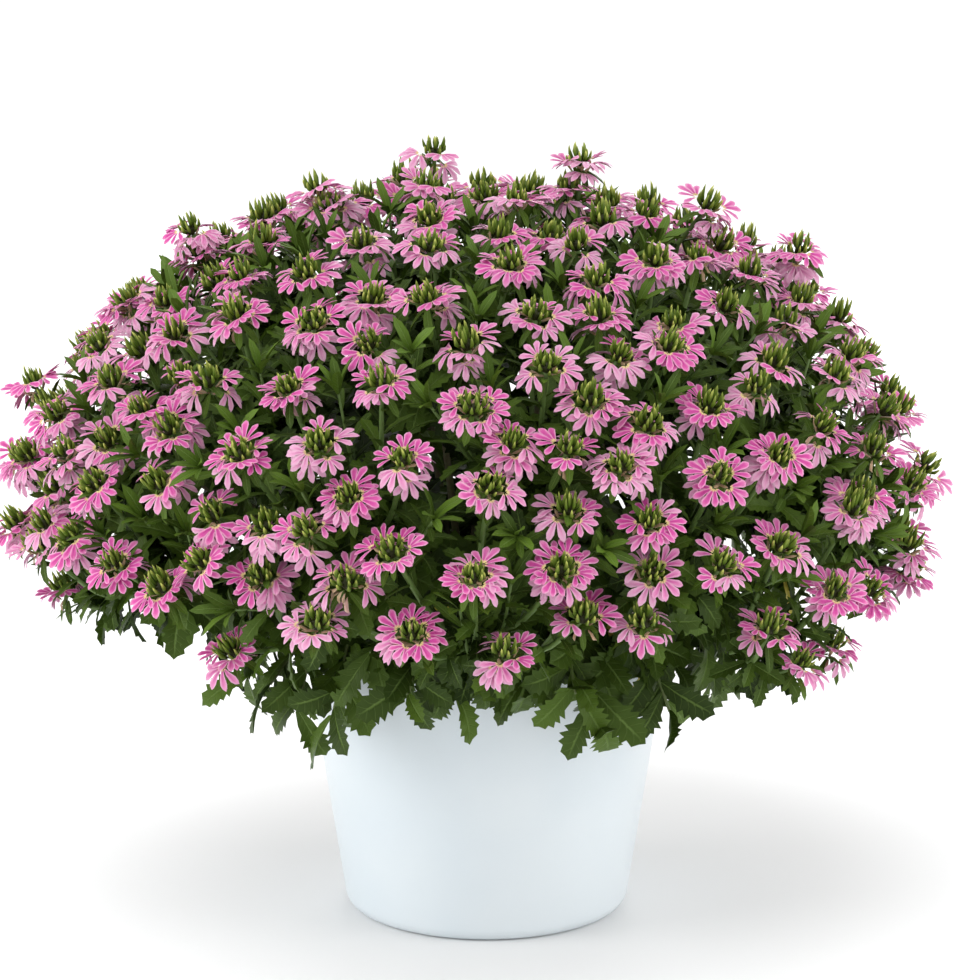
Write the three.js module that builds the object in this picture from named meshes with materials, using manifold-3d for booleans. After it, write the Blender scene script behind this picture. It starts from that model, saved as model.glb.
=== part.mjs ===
// A potted fan flower: a mound of upright leafy shoots in a plain white pot, each shoot topped
// by whorls of pink, fan-shaped flowers round a green spike of buds.
// Millimetres, +Z up, origin at the centre of the pot's foot.
import * as THREE from "three";
import Module from "manifold-3d";
import { mergeVertices } from "three/addons/utils/BufferGeometryUtils.js";

const wasm = await Module();
wasm.setup();

// Driving dimensions
const POT = { height: 176, rim: 113, body: 110, foot: 84, corner: 10, lip: 11, wall: 3.5, floor: 5, sides: 32 };
const SOIL = { top: 160, crown: 5, gap: 0.3, holeDepth: 32 };
const MOUND = { x: -7, z: 250, spread: 258, rise: 176, lowest: 97 };
const SPRAY = { count: 28, first: -0.26, outerHeads: 5, headSpacing: 44, forkDepth: 72, lift: 5, upturn: 0.46 };
const SETTLE = { rounds: 60, apart: 47, together: 46, share: 0.2 };
const STEM = { foot: 3.4, fork: 2.8, nodeHalf: 3.4, sides: 5, soilSpread: 84, rise: 26 };
const WHORL = { petals: 7, reach: 22.5, shoulder: 0.5, valley: 0.6, droop: 3.5, hole: 5.5, halfThick: 1.1 };
const MEETING = { shoulder: 0.24, waist: 0.6, clear: 0.35 };
const CROWN = { collar: -1.9, neck: 2.6, valley: 7, valleyRadius: 4.2, tip: 13.5, tipRadius: 7.2, apex: 16 };
const LEAF = { halfThick: 1, length: 60, width: 40, rise: 0.9, droop: 7, edge: [[0.66, 1], [0.74, 0.74]] };
const SKIRT = { above: 79, length: 70, width: 37, fall: 0.6, droop: 14, nodeShare: 0.5 };
const GOLDEN_ANGLE = Math.PI * (3 - Math.sqrt(5));

const UP = new THREE.Vector3(0, 0, 1);
const v3 = (x, y, z) => new THREE.Vector3(x, y, z);
const mix = (a, b, share) => a.clone().lerp(b, share);
const along = (from, direction, distance) => from.clone().addScaledVector(direction, distance);

// A seeded draw from -1 to 1 for one spray, one piece of it and one use.
function draw(spray, piece, use) {
  const wave = Math.sin(spray * 127.1 + piece * 311.7 + use * 74.7 + 9.2) * 43758.5453;
  return 2 * (wave - Math.floor(wave)) - 1;
}

// The mound's skin, a flattened ball: a point at an azimuth and an angle down from the top.
function skinPoint(azimuth, fall) {
  const spread = MOUND.spread * Math.sin(fall);
  return v3(
    MOUND.x + spread * Math.cos(azimuth),
    spread * Math.sin(azimuth),
    MOUND.z + MOUND.rise * Math.cos(fall),
  );
}

// The skin's outward normal at a point on it or near it.
function skinNormal(point) {
  const wide = MOUND.spread ** 2;
  const tall = MOUND.rise ** 2;
  return v3((point.x - MOUND.x) / wide, point.y / wide, (point.z - MOUND.z) / tall).normalize();
}

// A point moved along its line from the mound's centre until it lies on the skin.
function ontoSkin(point) {
  const centre = v3(MOUND.x, 0, MOUND.z);
  const arm = point.clone().sub(centre);
  const size = Math.hypot(arm.x / MOUND.spread, arm.y / MOUND.spread, arm.z / MOUND.rise);
  return centre.addScaledVector(arm, 1 / size);
}

// The angle down from the top above which a share of the skin lies, so that sprays stand evenly.
function fallAtShare(share) {
  const steps = 400;
  const lowest = THREE.MathUtils.degToRad(MOUND.lowest);
  const fallAt = (step) => (lowest * (step + 0.5)) / steps;
  const band = (step) => {
    const fall = fallAt(step);
    return Math.sin(fall) * Math.hypot(MOUND.rise * Math.sin(fall), MOUND.spread * Math.cos(fall));
  };
  let whole = 0;
  for (let step = 0; step < steps; step++) whole += band(step);
  let above = 0;
  let step = 0;
  while (above < share * whole) above += band(step++);
  return fallAt(step);
}

// One spray before it has settled: a middle head and five round it, all on the skin.
function planSpray(number) {
  const share = (number + 0.5) / SPRAY.count;
  const azimuth = SPRAY.first + number * GOLDEN_ANGLE + 0.06 * draw(number, 0, 1);
  const middle = skinPoint(azimuth, fallAtShare(share));
  const side = v3(-Math.sin(azimuth), Math.cos(azimuth), 0);
  const upslope = skinNormal(middle).cross(side);
  const turn = Math.PI * draw(number, 0, 2);
  const heads = [{ piece: 0, place: middle }];
  for (let k = 1; k <= SPRAY.outerHeads; k++) {
    const angle = turn + (2 * Math.PI * (k + 0.1 * draw(number, k, 1))) / SPRAY.outerHeads;
    const beside = along(middle, side, SPRAY.headSpacing * Math.cos(angle));
    heads.push({ piece: k, place: ontoSkin(along(beside, upslope, SPRAY.headSpacing * Math.sin(angle))) });
  }
  return { number, share, heads };
}

// Moves heads along the skin: away from any that crowd them, and back towards their own middle head.
function settle(sprays) {
  const heads = sprays.flatMap((spray) => spray.heads);
  for (let round = 0; round < SETTLE.rounds; round++)
    for (const spray of sprays)
      for (const head of spray.heads) {
        const push = v3(0, 0, 0);
        for (const other of heads) {
          const gap = head.place.clone().sub(other.place);
          const short = SETTLE.apart - gap.length();
          if (other !== head && short > 0) push.addScaledVector(gap.normalize(), SETTLE.share * short);
        }
        const home = spray.heads[0].place.clone().sub(head.place);
        const stray = home.length() - SETTLE.together;
        if (stray > 0) push.addScaledVector(home.normalize(), SETTLE.share * stray);
        head.place = ontoSkin(head.place.add(push));
      }
}

// Lifts a spray's heads off the skin by their own amounts and works out its axes, fork and foot.
function raise({ number, share, heads }) {
  const [middle, ...outer] = heads;
  const normal = skinNormal(middle.place);
  const azimuth = Math.atan2(middle.place.y, middle.place.x - MOUND.x);
  const outward = v3(Math.cos(azimuth), Math.sin(azimuth), 0);
  const side = UP.clone().cross(outward);
  const axis = mix(normal, UP, SPRAY.upturn).normalize();
  const fork = along(middle.place, axis, -SPRAY.forkDepth);
  const round = v3(0, 0, 0);
  outer.forEach((head, k) => {
    const arm = faceFor(axis, head.place.clone().sub(middle.place));
    round.add(arm.applyAxisAngle(axis, (-2 * Math.PI * (k + 1)) / outer.length));
  });
  const turn = Math.atan2(round.dot(axis.clone().cross(side)), round.dot(side));
  for (const head of heads) {
    const lean = [5, 6, 7].map((use) => 0.1 * draw(number, head.piece, use));
    head.axis = mix(skinNormal(head.place), UP, SPRAY.upturn).add(v3(...lean)).normalize();
    const lift = head.piece === 0 ? SPRAY.lift : 4 * draw(number, head.piece, 3);
    head.place = along(head.place, normal, lift);
  }
  const low = THREE.MathUtils.radToDeg(fallAtShare(share)) > SKIRT.above;
  const ground = v3(MOUND.x, 0, 0).addScaledVector(outward, STEM.soilSpread * Math.sqrt(share));
  const footTurn = low ? turn - Math.PI / STEM.sides : turn;
  return { number, low, outward, axis, side, turn, footTurn, ground, fork, heads };
}

// Every spray, each head reaching out no further than half way to its nearest neighbour.
function planSprays() {
  const planned = Array.from({ length: SPRAY.count }, (_, number) => planSpray(number));
  settle(planned);
  const sprays = planned.map(raise);
  const heads = sprays.flatMap((spray) => spray.heads);
  for (const head of heads) {
    const gaps = heads.filter((other) => other !== head).map((other) => other.place.distanceTo(head.place));
    head.reach = Math.min(WHORL.reach, Math.min(...gaps) / 2 - MEETING.clear);
  }
  return sprays;
}

// A skin of triangles grown loop by loop. Loops run anticlockwise as seen looking back down the growth.
class Skin {
  constructor() {
    this.points = [];
    this.faces = [];
  }

  add(points) {
    return points.map((point) => this.points.push(point) - 1);
  }

  face(a, b, c) {
    this.faces.push([a, b, c]);
  }

  // Joins two loops, each step along the loop whose next edge has its middle first. Where the edges
  // lie is told by their count, or for uneven loops by their turn about a centre and an axis.
  bridge(low, high, centre, axis) {
    const evenly = (loop) => loop.map((_, i) => (2 * Math.PI * i) / loop.length);
    const lowTurns = centre ? this.turns(low, low[0], centre, axis) : evenly(low);
    const highTurns = centre ? this.turns(high, low[0], centre, axis) : evenly(high);
    const middle = (turns, i) => (turns[i] + (turns[i + 1] ?? turns[0] + 2 * Math.PI)) / 2;
    let i = 0;
    let j = 0;
    while (i < low.length || j < high.length) {
      const a = low[i % low.length];
      const b = high[j % high.length];
      if (j === high.length || (i < low.length && middle(lowTurns, i) <= middle(highTurns, j))) {
        this.face(a, low[(i + 1) % low.length], b);
        i++;
      } else {
        this.face(a, high[(j + 1) % high.length], b);
        j++;
      }
    }
  }

  // How far round an axis each point of a loop lies from a first point.
  turns(loop, first, centre, axis) {
    const flat = (id) => faceFor(axis, this.points[id].clone().sub(centre));
    const zero = flat(first);
    const quarter = axis.clone().cross(zero);
    const angles = loop.map((id) => Math.atan2(flat(id).dot(quarter), flat(id).dot(zero)));
    return angles.map((angle, i) => (i > 0 && angle < angles[0] ? angle + 2 * Math.PI : angle));
  }

  // Closes a loop onto one point.
  cap(loop, point) {
    const [tip] = this.add([point]);
    loop.forEach((a, i) => this.face(a, loop[(i + 1) % loop.length], tip));
  }

  solid() {
    return new wasm.Manifold(
      new wasm.Mesh({
        numProp: 3,
        vertProperties: new Float32Array(this.points.flatMap((point) => point.toArray())),
        triVerts: new Uint32Array(this.faces.flat()),
      }),
    );
  }
}

// A closed geometry as a solid to join or cut, and such a solid as a geometry.
function solidFrom(geometry) {
  const bare = geometry.clone().deleteAttribute("normal").deleteAttribute("uv");
  const merged = mergeVertices(bare, 1e-3);
  const vertProperties = new Float32Array(merged.attributes.position.array);
  const triVerts = new Uint32Array(merged.index.array);
  return new wasm.Manifold(new wasm.Mesh({ numProp: 3, vertProperties, triVerts }));
}

function geometryFrom(solid) {
  const mesh = solid.getMesh();
  const geometry = new THREE.BufferGeometry();
  geometry.setAttribute("position", new THREE.BufferAttribute(mesh.vertProperties, 3));
  geometry.setIndex(new THREE.BufferAttribute(mesh.triVerts, 1));
  geometry.computeVertexNormals();
  return geometry;
}

const fuse = (solids) => solids.reduce((whole, solid) => whole.add(solid));

// Points of a regular polygon square to an axis, the first one towards a given direction.
function ringOf(centre, axis, towards, radius, count, turn = 0) {
  const x = towards.clone().addScaledVector(axis, -towards.dot(axis)).normalize();
  const y = axis.clone().cross(x);
  return Array.from({ length: count }, (_, i) => {
    const angle = turn + (2 * Math.PI * i) / count;
    return along(along(centre, x, radius * Math.cos(angle)), y, radius * Math.sin(angle));
  });
}

// A stalk from a loop on the fork to the neck inside its whorl, then the spike of buds: three
// leaning buds round a taller one.
function growStalk(skin, loop, head) {
  const middle = loop.reduce((sum, i) => sum.add(skin.points[i]), v3(0, 0, 0)).divideScalar(loop.length);
  head.towards = skin.points[loop[0]].clone().sub(middle);
  const level = (height, radius, count, turn) =>
    ringOf(along(head.place, head.axis, height), head.axis, head.towards, radius, count, turn);
  const neck = skin.add(level(CROWN.collar, CROWN.neck, 3, 0));
  const valleys = level(CROWN.valley, CROWN.valleyRadius, 3, 0);
  const tips = level(CROWN.tip, CROWN.tipRadius, 3, Math.PI / 3);
  const spike = skin.add(valleys.flatMap((valley, i) => [valley, tips[i]]));
  skin.bridge(loop, neck);
  skin.bridge(neck, spike);
  skin.cap(spike, along(head.place, head.axis, CROWN.apex));
}

// A leaf grown from a three-sided face of a stem, whose corners are left, right and top as seen
// from the leaf's tip. Its midrib is raised, its edge is notched and it bends down towards the tip.
function growLeaf(skin, [left, right, top], { way, face, length, width, droop, edge }) {
  const across = face.clone().cross(way);
  const base = skin.points[left].clone().add(skin.points[right]).multiplyScalar(0.5);
  const at = (share, out, lift) => {
    const point = along(along(along(base, way, share * length), across, out), face, lift);
    return point.addScaledVector(UP, -droop * share * share);
  };
  const edgeLeft = skin.add(edge.map(([share, out]) => at(share, -0.5 * width * out, 0)));
  const edgeRight = skin.add(edge.map(([share, out]) => at(share, 0.5 * width * out, 0)));
  const [tip] = skin.add([at(1, 0, 0)]);
  skin.cap([top, left, ...edgeLeft, tip, ...[...edgeRight].reverse(), right], at(0.5, 0, LEAF.halfThick));
  skin.cap([right, ...edgeRight, tip, ...[...edgeLeft].reverse(), left], at(0.5, 0, -LEAF.halfThick));
}

// Where a leaf goes that leaves a spray's stem at a turn round it: up and out, or hanging in the skirt.
function leafAt(spray, heading, turn, piece) {
  const angle = turn + 0.08 * draw(spray.number, piece, 12);
  const lateral = ringOf(v3(0, 0, 0), heading, spray.side, 1, 1, angle)[0];
  const hangs = spray.low && lateral.z < 0.1;
  const way = hangs
    ? along(along(lateral, spray.outward, 0.4), UP, -SKIRT.fall + 0.15 * draw(spray.number, piece, 13))
    : along(lateral, heading, LEAF.rise + 0.12 * draw(spray.number, piece, 13));
  way.normalize();
  const size = hangs ? { ...LEAF, ...SKIRT } : LEAF;
  return { ...size, way, face: faceFor(way, heading), length: size.length * (1 + 0.08 * draw(spray.number, piece, 14)) };
}

// A stem's swollen node between two loops half a side apart: a leaf at each face that stands on the
// lower loop and, in a fork, a stalk at each face that hangs from the upper one.
function growNode(skin, lower, upper, growAt, stalkAt) {
  for (let bay = 0; bay < STEM.sides; bay++) {
    const next = (bay + 1) % STEM.sides;
    growAt(bay, [lower[bay], lower[next], upper[bay]]);
    if (stalkAt) stalkAt(bay, [lower[next], upper[next], upper[bay]]);
    else skin.face(lower[next], upper[next], upper[bay]);
  }
}

// A stem from its hole in the soil over the rim to a fork, and a stalk from the fork to each head.
function growStem(spray) {
  const skin = new Skin();
  const halfSide = Math.PI / STEM.sides;
  const soilTop = SOIL.top + SOIL.crown + 2;
  const bend = along(spray.ground, UP, soilTop + STEM.rise);
  bend.lerp(v3(spray.fork.x, spray.fork.y, bend.z), 0.1);
  const under = along(spray.fork, spray.axis, -STEM.nodeHalf);
  const run = under.clone().sub(bend).normalize();
  const ring = (at, heading, radius, turn) => skin.add(ringOf(at, heading, spray.side, radius, STEM.sides, turn));
  const foot = ring(along(spray.ground, UP, SOIL.top - SOIL.holeDepth), UP, STEM.foot, spray.footTurn);
  for (let k = 2; k < STEM.sides; k++) skin.face(foot[0], foot[k], foot[k - 1]);
  const grown = [
    foot,
    ring(along(spray.ground, UP, soilTop), UP, STEM.foot, spray.footTurn),
    ring(bend, mix(UP, run, 0.5).normalize(), STEM.foot, spray.footTurn),
  ];
  if (spray.low) {
    const node = mix(bend, under, SKIRT.nodeShare);
    const lower = ring(along(node, run, -STEM.nodeHalf), run, STEM.foot, spray.footTurn);
    const upper = ring(along(node, run, STEM.nodeHalf), run, STEM.foot, spray.turn);
    skin.bridge(grown.at(-1), lower);
    growNode(skin, lower, upper, (bay, face) => {
      const turn = spray.footTurn + halfSide * (2 * bay + 1);
      growLeaf(skin, face, leafAt(spray, run, turn, 10 + bay));
    });
    grown.push(upper);
    skin.bridge(grown[0], grown[1]);
    skin.bridge(grown[1], grown[2]);
  } else {
    skin.bridge(grown[0], grown[1]);
    skin.bridge(grown[1], grown[2]);
  }
  const lower = ring(under, spray.axis, STEM.fork, spray.turn);
  skin.bridge(grown.at(-1), lower);
  const upper = ring(along(spray.fork, spray.axis, STEM.nodeHalf), spray.axis, STEM.fork, spray.turn + halfSide);
  growNode(
    skin,
    lower,
    upper,
    (bay, face) => growLeaf(skin, face, leafAt(spray, spray.axis, spray.turn + halfSide * (2 * bay + 1), bay)),
    (bay, face) => growStalk(skin, face, spray.heads[bay + 1]),
  );
  growStalk(skin, upper, spray.heads[0]);
  return skin.solid();
}

// A spray's flowers: a whorl of petals round each stalk. The middle whorl and each outer one share
// the narrow end of the two petals that face each other.
function growBlooms(spray) {
  const skin = new Skin();
  const [middle, ...outer] = spray.heads;
  const waists = outer.map((head) => growWaist(skin, middle, head));
  const wayTo = (from, to) => faceFor(from.axis, to.place.clone().sub(from.place));
  growWhorl(skin, middle, outer.map((head) => wayTo(middle, head)), waists);
  outer.forEach((head, k) => {
    const ways = ringOf(v3(0, 0, 0), head.axis, wayTo(head, middle), 1, WHORL.petals);
    const [right, top, left, under] = waists[k];
    growWhorl(skin, head, ways, [[left, top, right, under]]);
  });
  return skin.solid();
}

// The four corners of the section where two petals meet half way, seen from the first head.
function growWaist(skin, head, partner) {
  const half = mix(head.place, partner.place, 0.5);
  const way = partner.place.clone().sub(head.place).normalize();
  const up = faceFor(way, head.axis.clone().add(partner.axis));
  const across = up.clone().cross(way);
  const wide = MEETING.shoulder * Math.min(head.reach, partner.reach);
  return skin.add([
    along(half, across, -wide),
    along(half, up, MEETING.waist),
    along(half, across, wide),
    along(half, up, -MEETING.waist),
  ]);
}

// One whorl: a ring round its stalk whose knife-edged outline runs out to each petal and back.
function growWhorl(skin, head, petalWays, waists) {
  const wide = WHORL.shoulder * Math.tan(Math.PI / petalWays.length) * head.reach;
  const rimTop = [];
  const rimUnder = [];
  petalWays.forEach((way, i) => {
    if (waists[i]) {
      const [right, top, left, under] = waists[i];
      rimTop.push(right, top, left);
      rimUnder.push(right, under, left);
    } else {
      const across = head.axis.clone().cross(way);
      const tip = along(along(head.place, way, head.reach * 0.95), head.axis, -WHORL.droop);
      const shoulders = skin.add([along(tip, across, -wide), along(tip, across, wide)]);
      rimTop.push(...shoulders);
      rimUnder.push(...shoulders);
    }
    const between = way.clone().add(petalWays[(i + 1) % petalWays.length]).normalize();
    const valley = along(along(head.place, between, WHORL.valley * head.reach), head.axis, -0.4 * WHORL.droop);
    const [id] = skin.add([valley]);
    rimTop.push(id);
    rimUnder.push(id);
  });
  const first = skin.points[rimTop[0]];
  const corners = ringOf(head.place, head.axis, head.towards, WHORL.hole, 3);
  const gaps = corners.map((corner) => corner.distanceTo(first));
  const start = gaps.indexOf(Math.min(...gaps));
  const inOrder = corners.map((_, k) => corners[(start + k) % 3]);
  const top = skin.add(inOrder.map((corner) => along(corner, head.axis, WHORL.halfThick)));
  const under = skin.add(inOrder.map((corner) => along(corner, head.axis, -WHORL.halfThick)));
  const below = new Map([...rimTop.map((id, k) => [id, rimUnder[k]]), ...top.map((id, k) => [id, under[k]])]);
  const upper = skin.faces.length;
  skin.bridge(rimTop, top, head.place, head.axis);
  for (const [a, b, c] of skin.faces.slice(upper)) skin.face(below.get(a), below.get(c), below.get(b));
  skin.bridge([...under].reverse(), [...top].reverse());
}

// The direction square to a way that lies nearest to another direction.
const faceFor = (way, near) => along(near, way, -near.dot(way)).normalize();

// The pot: a straight taper with a rounded foot and a plain lip.
function pot() {
  const slope = (z) => THREE.MathUtils.mapLinear(z, POT.corner, POT.height, POT.foot, POT.body);
  const corner = [0, 45, 90].map((degrees) => {
    const angle = THREE.MathUtils.degToRad(degrees);
    const radius = POT.foot - POT.corner + POT.corner * Math.sin(angle);
    return [radius, POT.corner * (1 - Math.cos(angle))];
  });
  const under = POT.height - POT.lip;
  const profile = [
    [0, 0],
    ...corner,
    [slope(under - 2), under - 2],
    [POT.rim, under],
    [POT.rim, POT.height - 1.5],
    [POT.rim - 1.5, POT.height],
    [slope(POT.height) - POT.wall, POT.height],
    [slope(POT.floor) - POT.wall, POT.floor],
    [0, POT.floor],
  ];
  return solidFrom(lathe(profile));
}

function lathe(profile) {
  const points = profile.map(([radius, z]) => new THREE.Vector2(radius, z));
  return new THREE.LatheGeometry(points, POT.sides).rotateX(Math.PI / 2);
}

// The soil, clear of the pot all round, with a plain hole for each stem.
function soil() {
  const slope = (z) => THREE.MathUtils.mapLinear(z, POT.corner, POT.height, POT.foot, POT.body);
  const inside = (z) => slope(z) - POT.wall - 1.1 * SOIL.gap;
  const bottom = POT.floor + SOIL.gap;
  const body = solidFrom(
    lathe([
      [0, bottom],
      [inside(bottom), bottom],
      [inside(SOIL.top), SOIL.top],
      [0, SOIL.top + SOIL.crown],
    ]),
  );
  const holes = sprays.map(({ ground, side, footTurn }) => {
    const skin = new Skin();
    const radius = STEM.foot + SOIL.gap / Math.cos(Math.PI / STEM.sides);
    const ring = (z) => skin.add(ringOf(along(ground, UP, z), UP, side, radius, STEM.sides, footTurn));
    const low = ring(SOIL.top - SOIL.holeDepth - SOIL.gap);
    const high = ring(SOIL.top + 20);
    skin.bridge(low, high);
    for (let k = 2; k < STEM.sides; k++) {
      skin.face(low[0], low[k], low[k - 1]);
      skin.face(high[0], high[k - 1], high[k]);
    }
    return skin.solid();
  });
  return body.subtract(fuse(holes));
}

const FOLIAGE = new THREE.MeshStandardMaterial({ color: 0x3f5a24, roughness: 0.6, metalness: 0 });
const PETALS = new THREE.MeshStandardMaterial({ color: 0xd688b6, roughness: 0.6, metalness: 0 });
const PLASTIC = new THREE.MeshStandardMaterial({ color: 0xe4ebf2, roughness: 0.42, metalness: 0 });
const PEAT = new THREE.MeshStandardMaterial({ color: 0x2e2118, roughness: 0.95, metalness: 0 });

const plant = new THREE.Group();
plant.name = "potted_fan_flower";

function addNode(name, solid, material) {
  const mesh = new THREE.Mesh(geometryFrom(solid), material);
  mesh.name = name;
  plant.add(mesh);
}

const sprays = planSprays();
addNode("pot", pot(), PLASTIC);
addNode("soil", soil(), PEAT);
for (const spray of sprays) {
  const label = String(spray.number + 1).padStart(2, "0");
  addNode(`shoot_${label}`, growStem(spray), FOLIAGE);
  addNode(`blooms_${label}`, growBlooms(spray), PETALS);
}

export default plant;
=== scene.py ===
"""The looks of a potted fan flower: leafy shoots and pink fan flowers in a plain white pot.

Sizes are in millimetres until a piece is finished, when its mesh is scaled to metres.
"""

from __future__ import annotations

import logging
import math
import random
from dataclasses import dataclass, field
from enum import Enum
from typing import Callable, Sequence

import bmesh
import bpy
import numpy as np
from mathutils import Matrix, Vector

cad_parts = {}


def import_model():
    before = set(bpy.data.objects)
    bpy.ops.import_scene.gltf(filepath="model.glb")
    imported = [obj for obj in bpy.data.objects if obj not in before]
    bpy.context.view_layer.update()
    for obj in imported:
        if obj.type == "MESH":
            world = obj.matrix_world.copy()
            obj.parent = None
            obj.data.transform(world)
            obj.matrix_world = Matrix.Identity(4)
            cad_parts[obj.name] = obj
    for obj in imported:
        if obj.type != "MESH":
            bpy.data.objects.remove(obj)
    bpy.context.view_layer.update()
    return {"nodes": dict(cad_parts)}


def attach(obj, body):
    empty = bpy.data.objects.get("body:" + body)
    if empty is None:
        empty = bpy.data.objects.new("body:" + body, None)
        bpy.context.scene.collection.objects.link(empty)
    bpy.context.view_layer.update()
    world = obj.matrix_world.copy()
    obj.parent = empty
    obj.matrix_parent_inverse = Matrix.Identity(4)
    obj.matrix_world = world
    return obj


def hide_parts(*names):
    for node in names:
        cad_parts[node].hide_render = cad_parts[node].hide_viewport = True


LOG = logging.getLogger("fan_flower")
GOLDEN_ANGLE = math.pi * (3 - math.sqrt(5))
UP = np.array((0.0, 0.0, 1.0))
METRES = 0.001


# --- Small geometry helpers ---


def unit(vector: np.ndarray) -> np.ndarray:
    """Returns the vector at length one."""
    return vector / np.linalg.norm(vector)


def mix(a: np.ndarray, b: np.ndarray, share: float) -> np.ndarray:
    """Returns the point that lies a share of the way from a to b."""
    return a + (b - a) * share


def square_to(way: np.ndarray, near: np.ndarray) -> np.ndarray:
    """Returns the direction square to a way that lies nearest to another direction."""
    return unit(near - way * float(near @ way))


def turned(vector: np.ndarray, axis: np.ndarray, angle: float) -> np.ndarray:
    """Turns a vector about an axis.

    Args:
        vector: The vector.
        axis: The unit axis.
        angle: The angle in radians.

    Returns:
        The turned vector.
    """
    cosine, sine = math.cos(angle), math.sin(angle)
    along = axis * float(axis @ vector)
    return vector * cosine + np.cross(axis, vector) * sine + along * (1 - cosine)


def level_way(angle: float) -> np.ndarray:
    """Returns the level direction at an azimuth."""
    return np.array((math.cos(angle), math.sin(angle), 0.0))


def frame_at(
    place: np.ndarray, way: np.ndarray, face: np.ndarray, size: Sequence[float] = (1, 1, 1)
) -> Matrix:
    """Returns the matrix that sets a blade in its place.

    Args:
        place: Where the blade's foot goes.
        way: The direction of its length, the pattern's Y.
        face: A direction near that of its upper face, the pattern's Z.
        size: Scales across, along and through the blade.

    Returns:
        The matrix, in millimetres.
    """
    along = unit(way)
    above = square_to(along, face)
    across = np.cross(along, above)
    columns = np.column_stack((across * size[0], along * size[1], above * size[2], place))
    return Matrix([*columns.tolist(), [0, 0, 0, 1]])


def empty_bmesh() -> bmesh.types.BMesh:
    """Starts a bmesh whose points carry a tone and an age.

    Returns:
        The empty bmesh.
    """
    bm = bmesh.new()
    for name in ("tone", "age"):
        bm.verts.layers.float.new(name)
    return bm


def as_mesh(bm: bmesh.types.BMesh, name: str) -> bpy.types.Mesh:
    """Turns a bmesh into a mesh and frees it.

    Args:
        bm: The finished bmesh.
        name: The mesh's name.

    Returns:
        The mesh.
    """
    made = bpy.data.meshes.new(name)
    bm.to_mesh(made)
    bm.free()
    return made


def stand(name: str, data: bpy.types.ID) -> bpy.types.Object:
    """Adds an object to the scene.

    Args:
        name: The object's name.
        data: Its mesh, lamp or camera.

    Returns:
        The object.
    """
    made = bpy.data.objects.new(name, data)
    bpy.context.scene.collection.objects.link(made)
    return made


@dataclass(frozen=True)
class Path:
    """A smooth line through a few points, for a stem or a stalk."""

    points: tuple[tuple[float, ...], ...]

    @classmethod
    def through(cls, *points: np.ndarray, steps: int = 5) -> Path:
        """Makes a path that passes smoothly through some points.

        Args:
            points: The points, in order.
            steps: Steps between each two of them.

        Returns:
            The path.
        """
        ends = [2 * points[0] - points[1], *points, 2 * points[-1] - points[-2]]
        fine: list[np.ndarray] = []
        for a, b, c, d in zip(ends, ends[1:], ends[2:], ends[3:]):
            for step in range(steps):
                t = step / steps
                square = (2 * a - 5 * b + 4 * c - d) * t**2
                cube = (3 * b - a - 3 * c + d) * t**3
                fine.append(0.5 * (2 * b + (c - a) * t + square + cube))
        fine.append(points[-1])
        return cls(tuple(tuple(point.tolist()) for point in fine))

    def at(self, share: float) -> tuple[np.ndarray, np.ndarray]:
        """Finds a point of the path.

        Args:
            share: How far along the path's points it lies, from 0 to 1.

        Returns:
            The point, and the way the path runs there.
        """
        points = np.array(self.points)
        place = min(max(share, 0.0), 1.0) * (len(points) - 1)
        low = min(int(place), len(points) - 2)
        return mix(points[low], points[low + 1], place - low), unit(points[low + 1] - points[low])

    def length(self) -> float:
        """Returns the path's length."""
        return float(np.linalg.norm(np.diff(np.array(self.points), axis=0), axis=1).sum())


# --- Where everything stands ---


@dataclass(frozen=True)
class Mound:
    """The flattened ball on whose skin the flower heads stand."""

    x: float = -7.0
    z: float = 250.0
    spread: float = 258.0
    rise: float = 176.0
    lowest: float = 97.0
    bands: int = 400

    def centre(self) -> np.ndarray:
        """Returns the ball's centre."""
        return np.array((self.x, 0.0, self.z))

    def point(self, azimuth: float, fall: float) -> np.ndarray:
        """Returns the skin's point at an azimuth and an angle down from the top."""
        out, up = self.spread * math.sin(fall), self.rise * math.cos(fall)
        return self.centre() + (out * math.cos(azimuth), out * math.sin(azimuth), up)

    def normal(self, point: np.ndarray) -> np.ndarray:
        """Returns the skin's outward normal at a point on it or near it."""
        arm = point - self.centre()
        return unit(arm / (self.spread**2, self.spread**2, self.rise**2))

    def onto(self, point: np.ndarray) -> np.ndarray:
        """Returns a point moved along its line from the centre until it lies on the skin."""
        arm = point - self.centre()
        return self.centre() + arm / np.linalg.norm(arm / (self.spread, self.spread, self.rise))

    def falls(self) -> np.ndarray:
        """Returns the middle of each band, as an angle down from the top."""
        return math.radians(self.lowest) * (np.arange(self.bands + 1) + 0.5) / self.bands

    def fall_at_share(self, share: float) -> float:
        """Finds the height above which a share of the skin lies.

        Args:
            share: The share of the skin's area, from 0 to 1.

        Returns:
            The angle down from the top.
        """
        falls = self.falls()
        areas = np.sin(falls) * np.hypot(self.rise * np.sin(falls), self.spread * np.cos(falls))
        whole = areas[: self.bands].sum()
        above = np.concatenate(([0.0], np.cumsum(areas[: self.bands])))
        return float(falls[min(int(np.searchsorted(above, share * whole)), self.bands)])


def draw(spray: int, piece: int, use: int) -> float:
    """Returns a seeded draw from -1 to 1 for one spray, one piece of it and one use."""
    wave = math.sin(spray * 127.1 + piece * 311.7 + use * 74.7 + 9.2) * 43758.5453
    return 2 * (wave - math.floor(wave)) - 1


@dataclass
class Head:
    """One flower head: a ring of fan flowers round a crown of buds."""

    piece: int
    place: np.ndarray
    axis: np.ndarray = field(default_factory=UP.copy)
    spent: bool = False


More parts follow.
